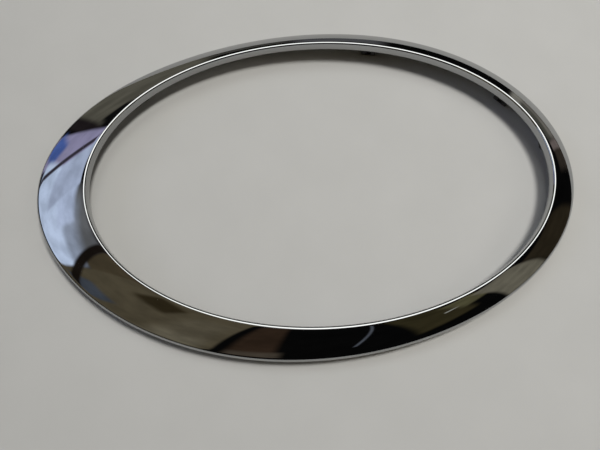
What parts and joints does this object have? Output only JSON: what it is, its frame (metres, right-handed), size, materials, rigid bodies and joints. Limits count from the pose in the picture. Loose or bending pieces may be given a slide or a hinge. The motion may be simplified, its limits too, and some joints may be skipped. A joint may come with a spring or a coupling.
{
  "type": "headlamp trim ring",
  "caption": "Oval bright-chrome trim ring that clips round a car headlamp, with a band wide at one end, spring clips, locating pins and foam strips behind.",
  "frame": {"origin": "middle of the ring's box in plan, at the level of the clip noses that it rests on", "axes": "+Z out of the polished face, +X along the opening's long axis towards the narrow end of the band, +Y completes the right-handed frame"},
  "size_m": [0.3472, 0.2263, 0.0169],
  "materials": {
    "chrome_plating": "mirror-bright plating on ABS",
    "clip_steel": "black phosphated spring steel, oiled satin",
    "sleeve_rubber": "matt black rubber",
    "seal_foam": "fine closed-cell foam, matt"
  },
  "bodies": {
    "root": {"trim_ring": "chrome_plating", "clip_1": "clip_steel", "clip_2": "clip_steel", "clip_3": "clip_steel", "clip_4": "clip_steel", "clip_5": "clip_steel", "clip_6": "clip_steel", "clip_7": "clip_steel", "clip_8": "clip_steel", "pin_sleeve_1": "sleeve_rubber", "pin_sleeve_2": "sleeve_rubber", "foam_strip_1": "seal_foam", "foam_strip_2": "seal_foam", "foam_strip_3": "seal_foam", "foam_strip_4": "seal_foam"}
  },
  "joints": []
}
